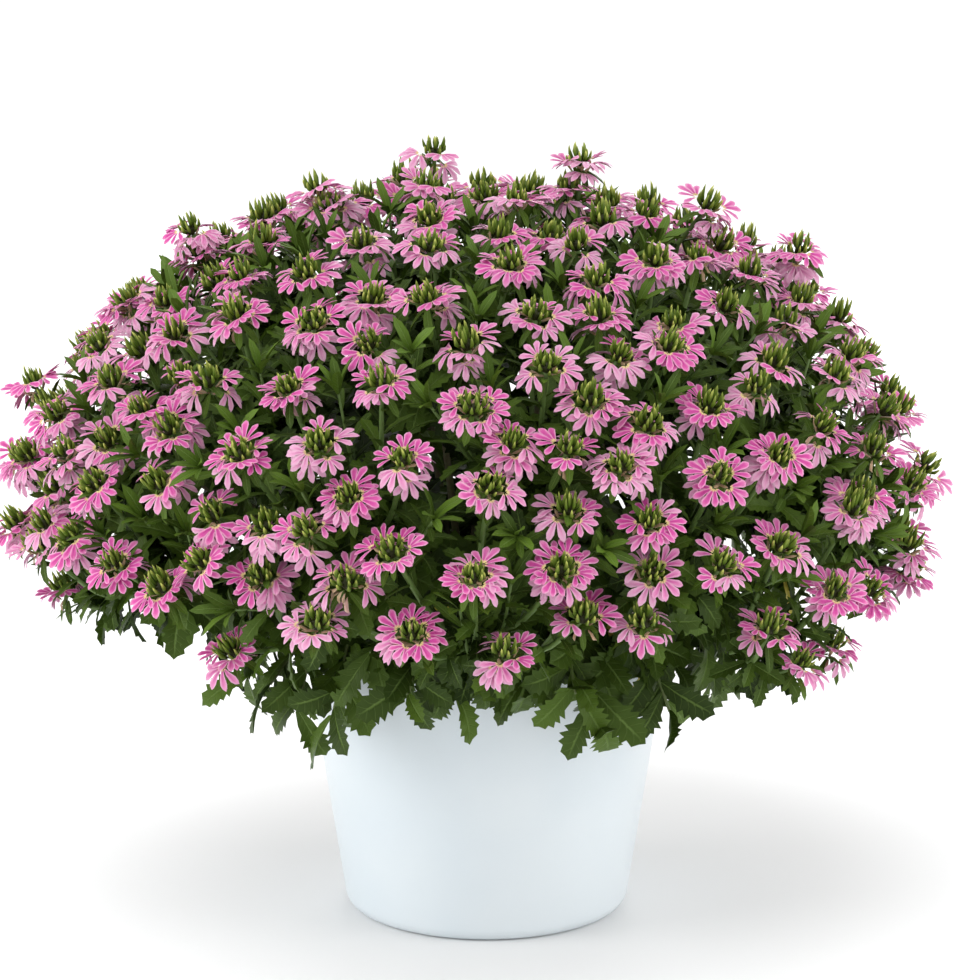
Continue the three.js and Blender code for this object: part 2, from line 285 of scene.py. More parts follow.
@dataclass
class Spray:
    """One stem with its heads, and the leafy tips that fill the mound beside them."""

    number: int
    share: float
    heads: list[Head]
    low: bool = False
    outward: np.ndarray = field(default_factory=UP.copy)
    axis: np.ndarray = field(default_factory=UP.copy)
    ground: np.ndarray = field(default_factory=UP.copy)
    fork: np.ndarray = field(default_factory=UP.copy)
    tips: list[Head] = field(default_factory=list)
    skirts: list[float] = field(default_factory=list)

    @property
    def label(self) -> str:
        """The spray's number as the nodes' names give it."""
        return f"{self.number + 1:02d}"


@dataclass(frozen=True)
class Planting:
    """The plan of all the sprays: the solids' own plan, with more heads and leafy tips between."""

    mound: Mound = Mound()
    count: int = 28
    first: float = -0.26
    azimuth_play: float = 0.06
    outer_heads: int = 5
    head_spacing: float = 44.0
    fork_depth: float = 72.0
    lift: float = 5.0
    lift_play: float = 4.0
    upturn: float = 0.46
    lean_play: float = 0.18
    extra_lean: float = 0.24
    outward_tilt: float = 0.60
    light: tuple[float, float, float] = (-0.03, -0.18, 0.0)
    rounds: int = 60
    apart: float = 47.0
    together: float = 46.0
    push: float = 0.2
    soil_spread: float = 84.0
    skirt_above: float = 79.0
    between_apart: float = 22.0
    between_most: int = 66
    tip_apart: float = 19.0
    tip_most: int = 150
    spots: int = 1800
    share_steps: int = 60
    skirt_shoots: int = 44
    outliers: tuple[tuple[float, float, float], ...] = (
        (-262.0, 0.0, 312.0),
        (-268.0, -20.0, 274.0),
        (-270.0, -40.0, 238.0),
        (197.0, -95.0, 184.0),
        (243.0, -40.0, 212.0),
        (-139.0, -190.0, 203.0),
        (-30.0, 10.0, 446.0),
        (-169.0, -10.0, 404.0),
        (-97.0, 0.0, 428.0),
        (53.0, 0.0, 442.0),
        (126.0, -10.0, 418.0),
        (179.0, -20.0, 396.0),
        (-205.0, -30.0, 366.0),
        (-34.0, -22.0, 431.0),
    )
    spent_above: float = 444.0
    spent_share: float = 0.12

    def plan(self, number: int) -> Spray:
        """Plans one spray before it has settled: a middle head and five round it, all on the skin.

        Args:
            number: The spray's number, from 0.

        Returns:
            The spray, with its heads alone.
        """
        share = (number + 0.5) / self.count
        azimuth = self.first + number * GOLDEN_ANGLE + self.azimuth_play * draw(number, 0, 1)
        middle = self.mound.point(azimuth, self.mound.fall_at_share(share))
        side = np.array((-math.sin(azimuth), math.cos(azimuth), 0.0))
        upslope = np.cross(self.mound.normal(middle), side)
        turn = math.pi * draw(number, 0, 2)
        heads = [Head(0, middle)]
        for k in range(1, self.outer_heads + 1):
            angle = turn + 2 * math.pi * (k + 0.1 * draw(number, k, 1)) / self.outer_heads
            arm = side * math.cos(angle) + upslope * math.sin(angle)
            heads.append(Head(k, self.mound.onto(middle + arm * self.head_spacing)))
        return Spray(number, share, heads)

    def settle(self, sprays: list[Spray]) -> None:
        """Moves heads along the skin, away from crowding ones and back to their middle one.

        Args:
            sprays: The planned sprays, whose heads' places change.
        """
        places = np.array([head.place for spray in sprays for head in spray.heads])
        of_spray = self.outer_heads + 1
        for _ in range(self.rounds):
            for i in range(len(places)):
                gaps = places[i] - places
                sizes = np.linalg.norm(gaps, axis=1)
                sizes[i] = self.apart
                short = self.apart - sizes
                near = short > 0
                move = self.push * (gaps[near] * (short[near] / sizes[near])[:, None]).sum(axis=0)
                home = places[i - i % of_spray] - places[i]
                stray = float(np.linalg.norm(home)) - self.together
                if stray > 0:
                    move = move + unit(home) * self.push * stray
                places[i] = self.mound.onto(places[i] + move)
        for i, place in enumerate(places):
            sprays[i // of_spray].heads[i % of_spray].place = place

    def facing(self, place: np.ndarray, lean: np.ndarray) -> np.ndarray:
        """Returns a head's axis: up, tilted outwards and to the light, with its own lean."""
        out = self.mound.normal(place) * (1, 1, 0)
        return unit(UP + out * self.outward_tilt + self.light + lean)

    def rise(self, spray: Spray) -> None:
        """Lifts a spray's heads off the skin and works out its axis, fork and foot.

        Args:
            spray: The settled spray.
        """
        middle = spray.heads[0].place
        normal = self.mound.normal(middle)
        azimuth = math.atan2(middle[1], middle[0] - self.mound.x)
        spray.outward = level_way(azimuth)
        spray.axis = unit(mix(normal, UP, self.upturn))
        spray.fork = middle - spray.axis * self.fork_depth
        for head in spray.heads:
            draws = np.array([draw(spray.number, head.piece, use) for use in (5, 6, 7)])
            head.axis = self.facing(head.place, self.lean_play * draws)
            lift = self.lift_play * draw(spray.number, head.piece, 3) if head.piece else self.lift
            head.place = head.place + normal * lift
        spray.low = math.degrees(self.mound.fall_at_share(spray.share)) > self.skirt_above
        foot = spray.outward * self.soil_spread * math.sqrt(spray.share)
        spray.ground = np.array((self.mound.x, 0.0, 0.0)) + foot

    def crowded(self, skin: np.ndarray) -> np.ndarray:
        """Finds the patches where heads crowd together.

        Args:
            skin: Points, one to a row.

        Returns:
            Whether each point lies in such a patch.
        """
        first = np.sin(skin @ (0.034, 0.021, -0.012) + 1.0)
        second = np.sin(skin @ (-0.017, 0.030, 0.039) + 2.4)
        return first + second > -0.25

    def gaps(
        self, taken: list[np.ndarray], apart: float, most: int, patchy: bool = False
    ) -> list[np.ndarray]:
        """Finds the widest gaps on the skin, each furthest from all that stands before it.

        Args:
            taken: Places that are taken already; what is found is added to them.
            apart: The least distance from a found place to any taken one.
            most: The most places to find.
            patchy: Whether only the crowded patches count.

        Returns:
            The found places, on the skin.
        """
        shares = np.linspace(0, 1, self.share_steps)
        known = [self.mound.fall_at_share(share) for share in shares]
        falls = np.interp((np.arange(self.spots) + 0.5) / self.spots, shares, known)
        skin = np.array([self.mound.point(k * GOLDEN_ANGLE, fall) for k, fall in enumerate(falls)])
        if patchy:
            skin = skin[self.crowded(skin)]
        nearest = np.min([np.linalg.norm(skin - place, axis=1) for place in taken], axis=0)
        found: list[np.ndarray] = []
        while len(found) < most and nearest.max() > apart:
            place = skin[int(nearest.argmax())]
            found.append(place)
            taken.append(place)
            nearest = np.minimum(nearest, np.linalg.norm(skin - place, axis=1))
        return found

    def sprays(self) -> list[Spray]:
        """Plants everything.

        Returns:
            Every spray in its final place, with the heads and tips that fill the gaps between.
        """
        sprays = [self.plan(number) for number in range(self.count)]
        self.settle(sprays)
        for spray in sprays:
            self.rise(spray)
        rng = random.Random(5)
        taken = [head.place for spray in sprays for head in spray.heads]
        outliers = [np.array(place) for place in self.outliers]
        taken.extend(outliers)

        def nearest(place: np.ndarray) -> Spray:
            """Returns the spray whose fork lies nearest under a place."""
            root = place - self.mound.normal(place) * 0.5 * self.fork_depth
            return min(sprays, key=lambda spray: float(np.linalg.norm(spray.fork - root)))

        def lean() -> np.ndarray:
            """Returns a small random lean."""
            return np.array([rng.uniform(-self.extra_lean, self.extra_lean) for _ in range(3)])

        between = self.gaps(taken, self.between_apart, self.between_most, patchy=True)
        for place in [*outliers, *between]:
            sunk = 0.0 if any(place is outlier for outlier in outliers) else rng.uniform(-4, 14)
            spray = nearest(place)
            at = place - self.mound.normal(place) * sunk
            spent = place[2] > self.spent_above or rng.random() < self.spent_share
            spray.heads.append(Head(20 + len(spray.heads), at, self.facing(place, lean()), spent))
        for place in self.gaps(taken, self.tip_apart, self.tip_most):
            at = place - self.mound.normal(place) * rng.uniform(8, 22)
            nearest(place).tips.append(Head(0, at, self.facing(place, lean())))
        for k in range(self.skirt_shoots):
            azimuth = 2 * math.pi * (k + rng.uniform(-0.2, 0.2)) / self.skirt_shoots
            out = level_way(azimuth)
            low = max((s for s in sprays if s.low), key=lambda spray: float(spray.outward @ out))
            low.skirts.append(azimuth)
        return sprays


# --- Gathering small shapes into pieces ---


class Gathering:
    """Copies of small patterns gathered into one mesh, each with its own tone and age."""

    def __init__(self) -> None:
        """Starts with no geometry."""
        self.bm = empty_bmesh()
        self.tone, self.age = (self.bm.verts.layers.float[name] for name in ("tone", "age"))

    def add(self, pattern: bpy.types.Mesh, place: Matrix, tone: float, age: float = 0.0) -> None:
        """Adds one copy of a pattern.

        Args:
            pattern: The mesh to copy.
            place: Where it goes, in the gathering's millimetres.
            tone: A draw from -1 to 1 that its colour varies by.
            age: From 0, young, to 1, old; petals over 1 have withered, and leaves of high age also
                take painted shade.
        """
        first = len(self.bm.verts)
        self.bm.from_mesh(pattern)
        self.bm.verts.ensure_lookup_table()
        fresh = self.bm.verts[first:]
        bmesh.ops.transform(self.bm, matrix=place, verts=fresh)
        for vertex in fresh:
            vertex[self.tone] += tone
            vertex[self.age] += age

    def mesh(self, name: str, scale: float = 1.0) -> bpy.types.Mesh:
        """Returns the gathered mesh at a scale and empties the gathering."""
        bmesh.ops.scale(self.bm, vec=(scale,) * 3, verts=self.bm.verts)
        return as_mesh(self.bm, name)

    def piece(self, name: str, material: bpy.types.Material, slot: str, *nodes: str) -> None:
        """Sets the gathered mesh in the scene as a finished piece that rides on the root body.

        Args:
            name: The piece's name.
            material: Its finish.
            slot: A material slot's name; not used.
            nodes: The CAD nodes that it stands for.
        """
        mesh = self.mesh(name, METRES)
        mesh.materials.append(material)
        made = stand(name, mesh)
        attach(made, "root")
        if nodes:
            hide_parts(*nodes)
        LOG.info("%s: %d faces", name, len(mesh.polygons))


@dataclass(frozen=True)
class Station:
    """One section of a blade: how far along it lies, its half widths, thickness and lifts."""

    along: float
    left: float
    right: float
    thick: float
    edge: float = 0.0
    middle: float = 0.0
    skew: float = 0.0


class Blade:
    """A thin closed blade, such as a leaf, a petal or a bud, shaped from a ball of a few sides."""

    @staticmethod
    def shape(
        name: str,
        stations: Sequence[Station],
        length: float,
        tip: tuple[float, float] = (1.0, 0.0),
        sides: int = 4,
        crease: bool = False,
        bend: Callable[[Vector], Vector] | None = None,
    ) -> bpy.types.Mesh:
        """Shapes one blade that grows from the origin along Y, with its upper face towards Z.

        Args:
            name: The mesh's name.
            stations: The sections between its foot and its tip.
            length: Its length.
            tip: How far along the tip lies, and its lift.
            sides: Sides of a section: 4 for a blade, more for a round bud.
            crease: Whether the midrib is a sharp fold.
            bend: Moves each finished point, to arch or twist the blade.

        Returns:
            The mesh, with its UV running along and across the blade.
        """
        bm = empty_bmesh()
        rings = len(stations) + 1
        bmesh.ops.create_uvsphere(bm, u_segments=sides, v_segments=rings, radius=1)
        surface = bm.loops.layers.uv.new("surface")
        falls = {v: math.acos(max(-1.0, min(1.0, v.co.z))) for v in bm.verts}
        steps = {v: round(fall * rings / math.pi) for v, fall in falls.items()}
        around = {v: tuple(v.co.xy.normalized()) for v in bm.verts}
        around.update({v: (0.0, 0.0) for v, step in steps.items() if step in (0, rings)})
        for edge in bm.edges:
            on_margin = all(abs(around[v][1]) < 1e-4 for v in edge.verts)
            on_rib = all(abs(around[v][0]) < 1e-4 for v in edge.verts)
            edge.smooth = sides != 4 or not (on_margin or (crease and on_rib))
        for face in bm.faces:
            face.smooth = True
        for vertex in bm.verts:
            step, (x, y) = steps[vertex], around[vertex]
            if step == 0:
                vertex.co = Vector((0, 0, 0))
            elif step == rings:
                vertex.co = Vector((0, tip[0] * length, tip[1]))
            else:
                section = stations[step - 1]
                half = section.right if x > 0 else section.left
                lift = section.edge * abs(x) + section.middle * (1 - abs(x))
                along = (section.along + section.skew * x) * length
                vertex.co = Vector((half * x, along, lift + section.thick * y))
        reach = {v: v.co.y / length for v in bm.verts}
        for face in bm.faces:
            for loop in face.loops:
                loop[surface].uv = (reach[loop.vert], 0.5 + 0.5 * around[loop.vert][0])
        if bend:
            for vertex in bm.verts:
                vertex.co = bend(vertex.co)
        return as_mesh(bm, name)


# --- Flowers ---


class FanAge(Enum):
    """How far a fan flower has come: freshly open, open wide, or fading and drooping."""

    FRESH = 0
    OPEN = 1
    FADING = 2


@dataclass(frozen=True)
class FanFlower:
    """One fan flower: five blunt petals spread in a half circle from a yellow throat."""

    petal: float = 12.4
    width: float = 4.4
    thick: float = 0.32
    spread: float = 37.0
    throat: float = 0.9
    tube: float = 9.0
    tube_age: float = 1.8
    rag: float = 9.0

    def petal_shape(self, name: str, droop: float, curl: float) -> bpy.types.Mesh:
        """Shapes one petal: narrow at its foot, broad and blunt at its tip, with raised wings.

        Args:
            name: The mesh's name.
            droop: How far its tip hangs.
            curl: How much its tip curls back, from 0 to 1.

        Returns:
            The petal's mesh.
        """
        half = self.width / 2
        stations = [
            Station(0.10, 0.34 * half, 0.34 * half, self.thick * 1.3, 0.10, 0.0),
            Station(0.40, 0.66 * half, 0.66 * half, self.thick, 0.5, 0.0),
            Station(0.74, 1.0 * half, 1.0 * half, self.thick, 0.5, 0.1),
            Station(0.90, 0.62 * half, 0.70 * half, self.thick * 0.8, 0.2, 0.1),
        ]

        def bend(point: Vector) -> Vector:
            """Arches the petal and lets its tip droop."""
            share = point.y / self.petal
            lift = point.z + 1.1 * share - droop * share**2.2
            return Vector((point.x, point.y * (1 - 0.12 * curl * share), lift))

        return Blade.shape(name, stations, self.petal, bend=bend)

    def pattern(self, age: FanAge) -> bpy.types.Mesh:
        """Returns a fan whose throat is at the origin and whose middle petal points along Y.

        Args:
            age: How far the flower has come.

        Returns:
            The fan's mesh.
        """
        droop = {FanAge.FRESH: 1.2, FanAge.OPEN: 2.4, FanAge.FADING: 5.0}[age]
        spread = {FanAge.FRESH: 0.88, FanAge.OPEN: 1.0, FanAge.FADING: 0.93}[age] * self.spread
        rng = random.Random(40 + age.value)
        fan = Gathering()
        for k in range(-2, 3):
            petal = self.petal_shape("petal", droop + rng.uniform(-0.8, 0.8), rng.uniform(0, 1))
            angle = math.radians(spread * k + rng.uniform(-4, 4))
            turn = Matrix.Rotation(-angle, 4, "Z")
            roll = Matrix.Rotation(math.radians(-9 * k + rng.uniform(-5, 5)), 4, "Y")
            size = (1.0 - 0.05 * abs(k)) * rng.uniform(0.95, 1.05)
            foot = Matrix.Translation((0, self.throat, 0.25 * (2 - abs(k))))
            place = turn @ foot @ roll @ Matrix.Scale(size, 4)
            fan.add(petal, place, rng.uniform(-0.15, 0.15))
            bpy.data.meshes.remove(petal)
        tube = Blade.shape(
            "tube",
            [Station(0.2, 0.7, 0.7, 0.7), Station(0.75, 1.15, 1.15, 1.0)],
            self.tube,
        )
        foot = np.array((0, -0.7 * self.tube, -0.72 * self.tube))
        fan.add(tube, frame_at(foot, np.array((0, 0.74, 0.7)), UP), 0.0, self.tube_age)
        bpy.data.meshes.remove(tube)
        return fan.mesh(f"fan_{age.name.lower()}")

    def withered(self) -> bpy.types.Mesh:
        """Shapes a spent flower: a narrow twisted rag.

        Returns:
            Its mesh.
        """
        stations = [
            Station(0.2, 0.6, 0.6, 0.5),
            Station(0.5, 1.3, 0.9, 0.6, 0.6, 0.0),
            Station(0.8, 0.8, 1.4, 0.5, -0.5, 0.4),
        ]

        def bend(point: Vector) -> Vector:
            """Curls the rag."""
            share = point.y / self.rag
            return Vector((point.x + 1.6 * math.sin(3 * share), point.y, point.z - 2.5 * share**2))

        return Blade.shape("withered", stations, self.rag, bend=bend)


@dataclass(frozen=True)
class Crown:
    """The crown of narrow pointed buds in the middle of a head."""

    rings: tuple[tuple[int, float, float, float, float], ...] = (
        (8, 2.9, 0.48, -2.5, 9.6),
        (5, 2.0, 0.26, -1.5, 11.2),
        (3, 0.9, 0.10, -0.5, 11.4),
    )
    bud_radius: float = 1.2
    pad_radius: float = 3.0

    def bud(self) -> bpy.types.Mesh:
        """Shapes a bud of length one along Y that curves in towards its tip.

        Returns:
            Its mesh.
        """
        r = self.bud_radius
        girths = ((0.16, 0.66), (0.5, 1.0), (0.82, 0.56))
        stations = [Station(along, *(girth * r,) * 3) for along, girth in girths]

        def bend(point: Vector) -> Vector:
            """Bows the bud, first out and then in."""
            return Vector((point.x, point.y, point.z + 1.5 * math.sin(math.pi * min(point.y, 1.0))))

        return Blade.shape("bud", stations, 1.0, sides=5, bend=bend)

    def pattern(self, seed: int) -> bpy.types.Mesh:
        """Returns a whole crown round Z, standing on the head's place.

        Args:
            seed: Sets the small differences between one crown and another.

        Returns:
            The crown's mesh.
        """
        rng = random.Random(seed)
        crown = Gathering()
        bud = self.bud()
        for count, radius, lean, foot, length in self.rings:
            phase = rng.uniform(0, 2 * math.pi)
            for k in range(count):
                angle = phase + 2 * math.pi * (k + rng.uniform(-0.18, 0.18)) / count
                out = level_way(angle)
                way = unit(UP + out * (lean + rng.uniform(-0.10, 0.12)))
                size = length * rng.uniform(0.82, 1.12)
                girth = rng.uniform(0.82, 1.12)
                at = out * radius + UP * (foot + rng.uniform(-0.8, 0.8))
                crown.add(bud, frame_at(at, way, out, (girth, size, girth)), rng.uniform(-1, 1))
        pad_stations = [Station(0.3, *(self.pad_radius,) * 3), Station(0.75, 2.8, 2.8, 2.8)]
        pad = Blade.shape("pad", pad_stations, 8.0, sides=8)
        # The pad's UV is squeezed into the buds' dark foot colour, so the pad is a dark disc of
        # painted shade under the buds.
        for loop in pad.uv_layers["surface"].data:
            loop.uv[0] *= 0.12
        crown.add(pad, frame_at(np.array((0, 0, -5.5)), UP, np.array((1.0, 0, 0))), 0.0)
        for used in (bud, pad):
            bpy.data.meshes.remove(used)
        return crown.mesh(f"crown_{seed}")


# --- Leaves ---


class LeafKind(Enum):
    """The leaves of the plant, from the big toothed ones of the skirt to the narrow bracts."""

    SKIRT = "skirt"
    BROAD = "broad"
    NARROW = "narrow"
    BRACT = "bract"


@dataclass(frozen=True)
class LeafShape:
    """The outline and bend of one kind of leaf, at its full length."""

    length: float
    width: float
    teeth: int
    arch: float
    fold: float
    widest: float = 0.66
    taper: float = 0.62

    def envelope(self, share: float) -> float:
        """Gives the outline before its teeth are cut.

        Args:
            share: How far along the leaf, from 0 to 1.

        Returns:
            The half width there, as a share of the widest.
        """
        rise = self.widest / (1 - self.widest) * self.taper
        top = self.widest**rise * (1 - self.widest) ** self.taper
        return share**rise * (1 - share) ** self.taper / top

    def stations(self, rng: random.Random) -> list[Station]:
        """Lays out the leaf's sections, two for each tooth after a plain narrow foot.

        Args:
            rng: Draws the small differences between leaves.

        Returns:
            The sections, from foot to tip.
        """
        half = self.width / 2
        shares: list[tuple[float, float]] = [(0.07, 1.5), (0.28, 1.0)]
        if self.teeth:
            first = 0.42
            step = (0.93 - first) / self.teeth
            for k in range(self.teeth):
                foot = first + k * step
                shares += [(foot, 0.80), (foot + 0.78 * step, 1.2)]
            shares.append((0.94, 0.6))
        else:
            shares += [(0.55, 1.0), (0.82, 1.0)]
        made = []
        for share, out in shares:
            width = half * self.envelope(share) * out
            left, right = (width * rng.uniform(0.92, 1.08) for _ in range(2))
            thick = 0.45 if share > 0.1 else 0.7
            wave = 0.5 * rng.uniform(-1, 1)
            edge = self.fold * 0.5 * (left + right) + wave
            skew = rng.uniform(-0.012, 0.012)
            made.append(Station(share, left, right, thick, edge, skew=skew))
        return made

    def pattern(self, name: str, seed: int) -> bpy.types.Mesh:
        """Returns one leaf of this kind along Y, its upper face towards Z.

        Args:
            name: The mesh's name.
            seed: Sets its own outline, arch and twist.

        Returns:
            The leaf's mesh.
        """
        rng = random.Random(seed)
        arch = self.arch * rng.uniform(0.6, 1.3)
        twist = rng.uniform(-0.5, 0.5)
        sway = rng.uniform(-0.08, 0.08) * self.length

        def bend(point: Vector) -> Vector:
            """Arches the leaf back, twists it a little and sways it to one side."""
            share = point.y / self.length
            angle = twist * share
            x = point.x * math.cos(angle) - point.z * math.sin(angle)
            z = point.x * math.sin(angle) + point.z * math.cos(angle)
            turn = arch * share
            y = point.y * (1 - 0.18 * turn * turn)
            return Vector((x + sway * share**2, y, z - 0.5 * turn * point.y))

        return Blade.shape(name, self.stations(rng), self.length, crease=True, bend=bend)


LEAF_SHAPES = {
    LeafKind.SKIRT: LeafShape(50.0, 21.0, 4, 0.6, 0.26, 0.63),
    LeafKind.BROAD: LeafShape(36.0, 14.0, 3, 0.6, 0.28, 0.63),
    LeafKind.NARROW: LeafShape(28.0, 6.8, 0, 0.5, 0.3, 0.58),
    LeafKind.BRACT: LeafShape(15.0, 4.2, 0, 0.6, 0.3, 0.55),
}


class Patterns:
    """The small meshes that the pieces are gathered from, made once."""

    def __init__(self, variants: int = 5, first_seed: int = 60) -> None:
        """Makes every pattern.

        Args:
            variants: How many leaves there are of each kind.
            first_seed: The seed of the first of them.
        """
        flower = FanFlower()
        self.fans = {age: flower.pattern(age) for age in FanAge}
        self.withered = flower.withered()
        self.crowns = [Crown().pattern(seed) for seed in (3, 8, 15)]
        self.leaves = {
            kind: [shape.pattern(f"{kind.value}_{n}", first_seed + n) for n in range(variants)]
            for kind, shape in LEAF_SHAPES.items()
        }

    def remove(self) -> None:
        """Takes the patterns out of the file once the pieces are made."""
        leaves = [mesh for meshes in self.leaves.values() for mesh in meshes]
        for mesh in [*self.fans.values(), self.withered, *self.crowns, *leaves]:
            bpy.data.meshes.remove(mesh)


# --- Finishes ---

Socket = bpy.types.NodeSocket
Colour = tuple[float, float, float, float]


class Shader:
    """A material's nodes, with short calls that add and join them."""

    def __init__(self, name: str) -> None:
        """Starts a material with its usual shader.

        Args:
            name: The material's name.
        """
        self.material = bpy.data.materials.new(name)
        self.material.use_nodes = True
        self.tree = self.material.node_tree
        self.bsdf = self.tree.nodes["Principled BSDF"]

    def node(self, kind: str, **settings: object) -> bpy.types.Node:
        """Adds a node.

        Args:
            kind: Its type, without ShaderNode.
            settings: Its own options.

        Returns:
            The node.
        """
        made = self.tree.nodes.new(f"ShaderNode{kind}")
        for name, value in settings.items():
            setattr(made, name, value)
        return made

    def feed(self, socket: bpy.types.NodeSocket, value: object) -> None:
        """Joins a socket to another one, or sets its value.

        Args:
            socket: The socket that takes it.
            value: The other socket, or the value.
        """
        if isinstance(value, bpy.types.NodeSocket):
            self.tree.links.new(value, socket)
        else:
            socket.default_value = value

    def math(self, operation: str, a: object, b: object = 0.0, clamp: bool = False) -> Socket:
        """Adds a sum on two numbers.

        Args:
            operation: The sum.
            a: A number or socket.
            b: Another one.
            clamp: Whether the result is kept from 0 to 1.

        Returns:
            The result's socket.
        """
        made = self.node("Math", operation=operation, use_clamp=clamp)
        self.feed(made.inputs[0], a)
        self.feed(made.inputs[1], b)
        return made.outputs[0]

    def plus(self, a: object, b: object, clamp: bool = False) -> Socket:
        """Returns a plus b."""
        return self.math("ADD", a, b, clamp)

    def minus(self, a: object, b: object) -> Socket:
        """Returns a minus b."""
        return self.math("SUBTRACT", a, b)

    def times(self, a: object, b: object) -> Socket:
        """Returns a times b."""
        return self.math("MULTIPLY", a, b)

    def swing(self, cloud: Socket, amount: float) -> Socket:
        """Returns a cloudy pattern as an amount either side of 0."""
        return self.times(self.minus(cloud, 0.5), amount)

    def blend(self, factor: object, a: object, b: object) -> Socket:
        """Blends two colours.

        Args:
            factor: 0 for the first, 1 for the second.
            a: The first colour.
            b: The second colour.

        Returns:
            The blend's socket.
        """
        made = self.node("Mix", data_type="RGBA")
        self.feed(made.inputs["Factor"], factor)
        self.feed(made.inputs[6], a)
        self.feed(made.inputs[7], b)
        return made.outputs[2]

    def band(
        self, value: object, low: float, high: float, start: float = 0.0, end: float = 1.0
    ) -> Socket:
        """Maps a value smoothly from one range to another.

        Args:
            value: The value's socket.
            low: Where its range starts.
            high: Where its range ends.
            start: The result at the start.
            end: The result at the end.

        Returns:
            The result's socket.
        """
        made = self.node("MapRange", interpolation_type="SMOOTHSTEP")
        self.feed(made.inputs["Value"], value)
        limits = {"From Min": low, "From Max": high, "To Min": start, "To Max": end}
        for name, limit in limits.items():
            made.inputs[name].default_value = limit
        return made.outputs["Result"]

    def noise(self, scale: float, detail: float = 2.0) -> Socket:
        """Adds a cloudy pattern on the object's own coordinates.

        Args:
            scale: Its scale per metre.
            detail: How fine it goes.

        Returns:
            The pattern's socket.
        """
        place = self.node("TexCoord")
        made = self.node("TexNoise")
        self.feed(made.inputs["Vector"], place.outputs["Object"])
        made.inputs["Scale"].default_value = scale
        made.inputs["Detail"].default_value = detail
        return made.outputs[0]

    def reading(self, name: str) -> Socket:
        """Returns a number that the mesh carries at each point."""
        return self.node("Attribute", attribute_name=name).outputs["Fac"]

    def along_and_across(self) -> tuple[Socket, Socket]:
        """Reads the blade's own UV map.

        Returns:
            How far along a blade a point lies, and how far from its middle line, from 0 to 1.
        """
        place = self.node("UVMap", uv_map="surface")
        parts = self.node("SeparateXYZ")
        self.feed(parts.inputs[0], place.outputs["UV"])
        off = self.math("ABSOLUTE", self.minus(parts.outputs["Y"], 0.5))
        return parts.outputs["X"], self.times(off, 2.0)

    def bump(self, height: object, strength: float, distance: float) -> None:
        """Gives the shader a fine relief.

        Args:
            height: The height's socket.
            strength: How strong it is.
            distance: Its height in metres.
        """
        made = self.node("Bump")
        made.inputs["Strength"].default_value = strength
        made.inputs["Distance"].default_value = distance
        self.feed(made.inputs["Height"], height)
        self.feed(self.bsdf.inputs["Normal"], made.outputs["Normal"])

    def finish(self, colour: object, roughness: object, **sockets: object) -> bpy.types.Material:
        """Sets the shader's sockets.

        Args:
            colour: The colour or its socket.
            roughness: The roughness or its socket.
            sockets: Other sockets by name, with _ for a space.

        Returns:
            The material.
        """
        self.feed(self.bsdf.inputs["Base Color"], colour)
        self.feed(self.bsdf.inputs["Roughness"], roughness)
        for name, value in sockets.items():
            self.feed(self.bsdf.inputs[name.replace("_", " ")], value)
        return self.material


@dataclass(frozen=True)
class PetalFinish:
    """Pink petals: a deep streak, pale wings and tip and a cream throat, paler with age."""

    deep: Colour = (0.43, 0.014, 0.22, 1)
    mid: Colour = (0.56, 0.050, 0.285, 1)
    pale: Colour = (0.73, 0.30, 0.48, 1)
    faded: Colour = (0.65, 0.34, 0.48, 1)
    cream: Colour = (0.72, 0.55, 0.22, 1)
    withered: Colour = (0.36, 0.24, 0.13, 1)

    def make(self) -> bpy.types.Material:
        """Builds the nodes.

        Returns:
            The material.
        """
        s = Shader("petal")
        along, across = s.along_and_across()
        tone, age = s.reading("tone"), s.reading("age")
        cloud = s.noise(260.0)
        wing = s.band(s.plus(across, s.times(cloud, 0.2)), 0.55, 0.98)
        body = s.blend(wing, self.mid, self.pale)
        tip = s.band(along, 0.70, 1.0, 0.0, 0.7)
        body = s.blend(tip, body, self.pale)
        body = s.blend(s.plus(s.times(tone, 0.16), 0.14, clamp=True), body, self.deep)
        body = s.blend(s.band(age, 0.1, 1.0, 0.0, 0.85), body, self.faded)
        streak = s.times(s.band(across, 0.65, 0.15), s.band(along, 0.95, 0.30))
        body = s.blend(s.times(streak, s.band(age, 0.1, 1.1, 0.85, 0.45)), body, self.deep)
        body = s.blend(s.band(along, 0.20, 0.06), body, self.cream)
        body = s.blend(s.band(age, 1.2, 1.8), body, self.withered)
        s.bump(s.plus(s.band(across, 0.0, 0.35), s.times(cloud, 0.4)), 0.35, 0.0004)
        return s.finish(
            body,
            s.band(cloud, 0.3, 0.7, 0.45, 0.6),
            Subsurface_Weight=0.35,
            Subsurface_Scale=0.0015,
            Subsurface_Radius=(1.0, 0.5, 0.8),
            Sheen_Weight=0.15,
            Sheen_Roughness=0.5,
        )


